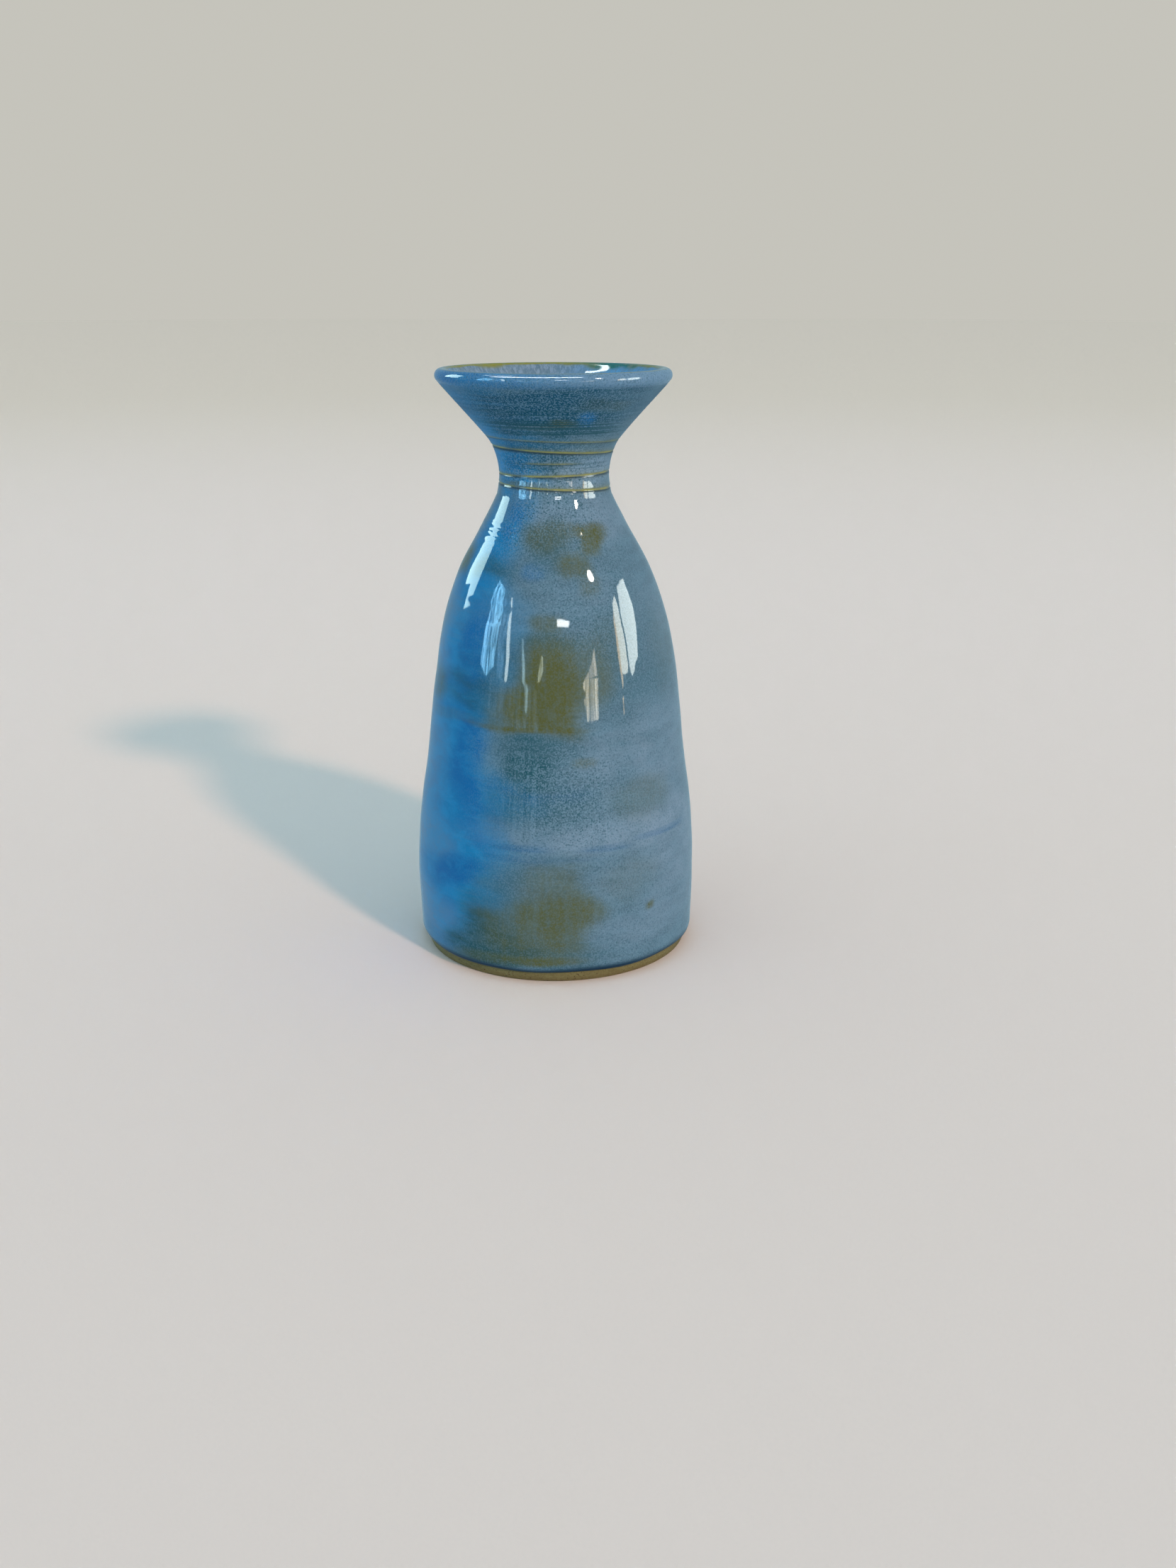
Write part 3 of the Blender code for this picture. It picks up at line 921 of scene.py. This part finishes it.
def glaze(name):
    """The runny blue glaze. The tone maps say where each tone lies, and noise breaks it up."""
    new = Surface(name)
    drift = new.noise((9.0, 9.0, 2.6), 0.30, 0.70, detail=4.0)
    bands = new.noise((26.0, 26.0, 0.9), 0.32, 0.68, detail=3.0)
    cloud = new.noise((8.0, 8.0, 4.5), 0.36, 0.64, detail=5.0, roughness=0.62, warp=0.4)
    clumps = new.noise((1.5, 1.5, 1.1), 0.34, 0.66, detail=2.0)
    crystals = new.noise((0.42, 0.42, 0.46), 0.44, 0.62, detail=1.5)
    veins = new.noise((0.50, 0.50, 0.46), 0.50, 0.34, detail=1.5)
    runs = new.noise((1.3, 1.3, 22.0), 0.36, 0.64, detail=2.0, place=new.around())
    fur = new.noise((0.70, 0.70, 2.2), 0.40, 0.66, detail=2.0, place=new.around())

    colour = new.mix(drift, scaled(GREY_BLUE, 0.88), scaled(GREY_BLUE, 1.14))
    azure = new.mix(new.product(cloud, 0.75), AZURE_COLOUR, AZURE_SHADE)
    # The flare's tone is partly painted shade on its down-facing underside and under the lip.
    for key, noise, amount, tone in (
        ("azure", bands, 0.08, azure), ("pale", cloud, 0.30, PALE_COLOUR),
        ("flare", bands, 0.30, FLARE_SHADE_COLOUR), ("deep", cloud, 0.35, DEEP_COLOUR),
        ("streak", bands, 0.45, STREAK_COLOUR), ("teal", drift, 0.35, TEAL_COLOUR),
    ):
        colour = new.tinted(colour, key, noise, amount, tone)
    olive = new.uneven(new.uneven(new.carried("olive"), runs, 0.10), clumps, 0.10)
    colour = new.mix(olive, colour, OLIVE_COLOUR)
    # The lip is lighter on its right: partly the glaze's own tone and partly painted light falling
    # from the right.
    colour = new.mix(new.product(new.carried("lip"), new.carried("right")), colour, LIP_COLOUR)
    inside = new.mix(fur, INSIDE_DARK, INSIDE_LIGHT)
    bluer = new.step(new.carried("right"), 0.42, 0.86, 0.80)
    inside = new.mix(new.uneven(bluer, fur, 0.25), inside, INSIDE_BLUE)
    colour = new.mix(new.carried("inside"), colour, inside)

    grain = new.carried("grain")
    dark_veins = new.product(new.product(veins, grain), VEIN_STRENGTH)
    colour = new.mix(new.math("MINIMUM", dark_veins, 0.8), colour, TEAL_COLOUR)
    flecks = new.product(new.product(crystals, grain), CRYSTAL_STRENGTH)
    colour = new.mix(flecks, colour, CRYSTAL_COLOUR)
    marks = new.noise((60.0, 60.0, 0.34), 0.46, 0.62, detail=2.0)
    marks = new.product(new.product(marks, new.carried("wheel")), WHEEL_STRENGTH)
    colour = new.mix(marks, colour, TEAL_COLOUR)
    # Navy: painted shade in the cut lines, and at the foot pooled glaze with painted shade where the
    # roll turns under.
    colour = new.mix(new.carried("navy"), colour, NAVY_COLOUR)
    colour = new.tinted(colour, "amber", clumps, 0.12, AMBER_COLOUR)
    crest = new.tinted(CREST_COLOUR, "green", clumps, 0.30, CREST_GREEN)
    colour = new.tinted(colour, "crest", clumps, 0.15, crest)

    # The fine crystals make the neck satin, where the body is glossy.
    satin = new.carried("satin")
    skin_height = new.noise((3.0, 3.0, 2.2), detail=1.0)
    roughness = new.step(satin, 0.0, 1.0, SATIN[0], start=GLOSSY[0])
    specular = new.step(satin, 0.0, 1.0, SATIN[1], start=GLOSSY[1])
    return new.finish(colour, roughness, GLAZE_IOR, skin_height, 0.0022,
                      **{"Specular IOR Level": specular})


def fired_clay():
    """Bare stoneware with dark grog and iron specks, darker at its very foot."""
    new = Surface("fired_clay")
    grog = new.noise((0.55, 0.55, 0.40), 0.30, 0.70, detail=4.0, roughness=0.7)
    cloud = new.noise((9.0, 9.0, 1.4), 0.30, 0.70, detail=3.0)
    iron = new.noise((0.50, 0.50, 0.45), 0.66, 0.74, detail=1.0)
    height = new.add("ShaderNodeSeparateXYZ", {0: new.object_place}).outputs[2]
    low = new.step(height, 1.6 * MM, 0.3 * MM)
    colour = new.mix(new.product(grog, 0.55), CLAY_LIGHT, CLAY_DARK)
    for darker, amount in ((cloud, 0.25), (low, 0.55)):
        colour = new.mix(new.product(darker, amount), colour, CLAY_DARK)
    colour = new.mix(iron, colour, CLAY_IRON)
    return new.finish(colour, 0.85, 1.45, grog, 0.05)


def pale_floor():
    """Even and pale, and gently darker far from the pot, where it meets the backdrop."""
    new = Surface("pale_floor")
    away = new.add("ShaderNodeVectorMath", {0: new.object_place}, operation="LENGTH").outputs["Value"]
    far = new.step(away, 0.4, 2.5)
    return new.finish(new.mix(far, FLOOR_COLOUR, FAR_FLOOR_COLOUR), 0.95, 1.3)


def backdrop():
    """A plain colour that nothing lights or shades."""
    return Surface("pale_backdrop").glow(BACKDROP_COLOUR)


# ------------------------------------------------------------
# The pieces

pieces = [
    (coat("outer_glaze_coat", 0, LAST_OUTER), "outer_glaze", "blue_glaze"),
    (coat("lip_glaze_lap", LAST_OUTER, LAST_LIP), "lip_glaze", "lip_glaze"),
    (coat("inner_glaze_liner", LAST_LIP, LAST_ROW), "inner_glaze", "liner_glaze"),
    (thrown_clay(), "clay_body", "fired_clay"),
]
for piece, node_name, slot_name in pieces:
    made = fired_clay() if slot_name == "fired_clay" else glaze(slot_name)
    piece.data.materials.append(made)
    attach(piece, "root")
    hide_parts(node_name)


# ------------------------------------------------------------
# Studio: floor, backdrop, lights and camera


def towards(azimuth, elevation):
    """The direction out from the pot at that angle round it and that angle up, in degrees."""
    a, e = math.radians(azimuth), math.radians(elevation)
    return Vector((math.sin(a) * math.cos(e), -math.cos(a) * math.cos(e), math.sin(e)))


def sun_lamp(azimuth, elevation, **settings):
    """A sun that shines on the pot from that direction."""
    data = bpy.data.lights.new("sun", "SUN")
    for key, value in settings.items():
        setattr(data, key, value)
    made = placed("sun", data)
    back = towards(azimuth, elevation)
    made.location = Vector((0.0, 0.0, 0.5 * HEIGHT)) + back * SUN_DISTANCE
    made.rotation_euler = (-back).to_track_quat("-Z", "Y").to_euler()
    made.visible_camera = False
    made.visible_glossy = False


def panel(name, colour, corners, folds=0.0, reach=2.0, ribbon=False):
    """A bright panel with that outline of directions, seen from the pot, and that far from it. It
    shows only in the glaze's gloss, and the even light of the world and the sun does the rest.
    Folds say how uneven it is, as a curtain hangs. A ribbon's corners run along one side and back
    along the other."""
    mesh = bpy.data.meshes.new(name)
    last = len(corners) - 1
    faces = [range(last + 1)]
    if ribbon:
        faces = [(step, step + 1, last - step - 1, last - step) for step in range(last // 2)]
    middle = Vector((0.0, 0.0, 0.6 * HEIGHT))
    mesh.from_pydata([middle + reach * towards(*corner) for corner in corners], [], faces)
    new = Surface(name)
    hang = new.noise((70.0, 70.0, 420.0), 0.34, 0.66, detail=4.0, roughness=0.6, warp=0.8)
    even = new.math("SUBTRACT", 1.0, folds)
    strength = new.math("ADD", even, new.product(hang, 2.0 * folds))
    shine = new.glow(colour, strength)
    shine.cycles.emission_sampling = "NONE"
    mesh.materials.append(shine)
    made = placed(name, mesh)
    made.visible_camera = False
    made.visible_diffuse = False
    made.visible_shadow = False


def disc(name, radius):
    """A flat, round floor."""
    mesh = bpy.data.meshes.new(name)
    turns = np.radians(np.linspace(0, 360, 96, endpoint=False))
    rim = [(radius * math.cos(turn), radius * math.sin(turn), 0.0) for turn in turns]
    mesh.from_pydata(rim, [], [range(len(rim))])
    return placed(name, mesh)


def dome(name, radius):
    """A half sphere that only the camera sees, so that the backdrop is plain from every side."""
    rings = []
    for turn in np.radians(np.linspace(-3.0, 87.0, 31)):
        level = np.full(SIDES, radius * math.sin(turn))
        wide = radius * math.cos(turn)
        rings.append(np.stack([wide * np.sin(TURN), -wide * np.cos(TURN), level], -1) / MM)
    rings.append(np.array([[0.0, 0.0, radius / MM]]))
    made = mesh_object(name, rings, loop=False)
    made.visible_diffuse = False
    made.visible_glossy = False
    made.visible_transmission = False
    made.visible_shadow = False
    return made


floor = disc("studio_floor", ROOM_RADIUS)
floor.data.materials.append(pale_floor())
floor.visible_glossy = False
shell = dome("studio_backdrop", ROOM_RADIUS)
shell.data.materials.append(backdrop())

# Even light for the surfaces, and a darker room where the gloss reflects it.
world = bpy.data.worlds.new("studio")
world.use_nodes = True
sky = world.node_tree.nodes["Background"]
ray = world.node_tree.nodes.new("ShaderNodeLightPath").outputs["Is Glossy Ray"]
blend = world.node_tree.nodes.new("ShaderNodeMix")
blend.data_type = "RGBA"
blend.inputs[MIX_FIRST].default_value = (*WORLD_COLOUR, 1.0)
blend.inputs[MIX_SECOND].default_value = (*ROOM_IN_GLOSS, 1.0)
world.node_tree.links.new(ray, blend.inputs[MIX_FACTOR])
world.node_tree.links.new(blend.outputs[MIX_RESULT], sky.inputs["Color"])
bpy.context.scene.world = world

sun_lamp(36.0, 30.5, energy=1.66, angle=math.radians(5.0), color=(1.0, 0.523, 0.341))

# What the glaze reflects, as corners in degrees round and up: the sun, the windows with their
# curtains, a lamp, a doorway and the lights above.
glint_turns = np.radians(range(0, 360, 20))
glint = [(48.5 + 4.0 * math.cos(turn), 36.8 + 4.6 * math.sin(turn)) for turn in glint_turns]
panel("sun_glint", (64.0, 60.0, 55.0), glint)
panel("right_window", (14.0, 15.4, 14.6), [
    (91.8, 22.3), (92.6, 13.0), (86.0, 3.4), (80.0, 1.2), (77.2, -0.5), (75.8, -1.4), (74.6, -1.0),
    (73.6, 2.0), (74.6, 17.0), (78.5, 23.5),
])
panel("right_window_side", (15.0, 15.4, 13.6), [
    (71.5, 22.4), (66.6, 20.4), (64.6, 11.0), (64.2, 1.6), (65.5, 0.4), (69.0, 0.2), (72.0, 1.8),
    (72.4, 12.0), (72.9, 19.0),
])
panel("right_window_edge", (12.0, 8.6, 4.6), [
    (66.0, 19.4), (64.0, 17.0), (62.0, 7.3), (62.9, -0.9), (63.8, -2.6), (64.8, -1.0), (64.3, 1.0),
    (64.7, 11.0),
])
panel("left_window", (6.8, 9.8, 9.6), [
    (-107.5, 33.0), (-104.5, 20.0), (-104.0, 14.0), (-105.0, 11.2), (-115.0, 7.4), (-116.0, 11.6),
    (-125.5, 7.8), (-128.5, 13.0), (-126.0, 31.0), (-117.0, 33.0),
])
panel("front_left_window", (3.8, 9.0, 13.4), [
    (-74.3, 30.0), (-76.5, 12.0), (-77.0, 1.5), (-70.0, 0.2), (-61.5, 3.0), (-60.0, 16.0),
    (-61.0, 25.0),
], folds=0.9)
panel("front_left_curtain", (1.0, 2.0, 3.1), [
    (-59.0, 22.0), (-59.5, 6.0), (-58.0, 1.6), (-51.5, 1.0), (-52.0, 22.0),
], folds=1.0)
panel("front_left_gap", (13.0, 15.5, 15.5), [
    (-51.0, 24.0), (-52.0, 19.5), (-48.9, 6.1), (-49.6, 1.4), (-48.4, 0.9), (-46.8, 1.4),
    (-45.6, 6.9), (-48.6, 19.8), (-49.7, 24.0),
])
panel("curtain_edge", (4.0, 6.4, 7.6), [
    (-34.4, 14.0), (-31.8, 2.5), (-27.5, -0.6), (-25.6, 0.6), (-29.0, 2.7), (-32.2, 13.5),
], folds=0.5)
panel("curtain", (0.50, 0.75, 0.95), [
    (-66.0, -3.0), (-50.0, -5.0), (-30.0, -5.4), (-17.0, -4.6), (-16.0, 1.0), (-40.0, 2.6),
    (-64.0, 1.6),
], folds=1.0, reach=2.4)
panel("tall_lamp", (6.5, 7.4, 6.0), [
    (-14.0, 10.2), (-17.4, 2.6), (-15.6, 2.8), (-12.2, 4.9), (-12.6, 9.3),
], folds=0.6)
panel("ceiling_lamp", (30.0, 31.0, 31.0), [
    (1.7, 24.2), (15.2, 23.0), (13.4, 19.6), (1.7, 19.6),
])
panel("doorway_top", (8.0, 7.4, 6.4), [
    (37.8, 11.5), (38.3, 5.0), (38.6, 2.6), (33.0, 2.0), (26.0, 1.9), (30.6, 4.1), (32.3, 5.5),
], folds=0.5)
panel("doorway", (10.5, 9.8, 8.0), [
    (39.0, 1.4), (27.0, 2.0), (24.4, 1.2), (26.6, 0.3), (27.5, -2.4), (38.0, -2.4),
], folds=0.8)
panel("overhead_bar", (44.0, 47.0, 49.0), [
    (-77.5, 44.0), (-55.0, 52.0), (-22.0, 56.0), (10.0, 57.0), (41.0, 56.0), (41.0, 62.5),
    (10.0, 64.5), (-22.0, 64.0), (-55.0, 59.5), (-79.0, 51.5),
], ribbon=True)
panel("skylight", (24.0, 27.0, 28.0), [
    (-114.5, 53.4), (-111.0, 53.0), (-93.5, 71.0), (-98.0, 71.6),
])

bpy.context.scene.view_settings.view_transform = "Standard"

camera_data = bpy.data.cameras.new("camera")
camera_data.lens = CAMERA_LENS
camera_data.sensor_width = 36.0
camera_data.clip_start = 0.01
camera_data.clip_end = 60.0
camera = placed("camera", camera_data)
camera.location = (0.0, -CAMERA_AWAY * HEIGHT, CAMERA_UP * HEIGHT)
camera.rotation_euler = (math.radians(90.0 - CAMERA_DOWN), 0.0, math.radians(-CAMERA_RIGHT))
bpy.context.scene.camera = camera
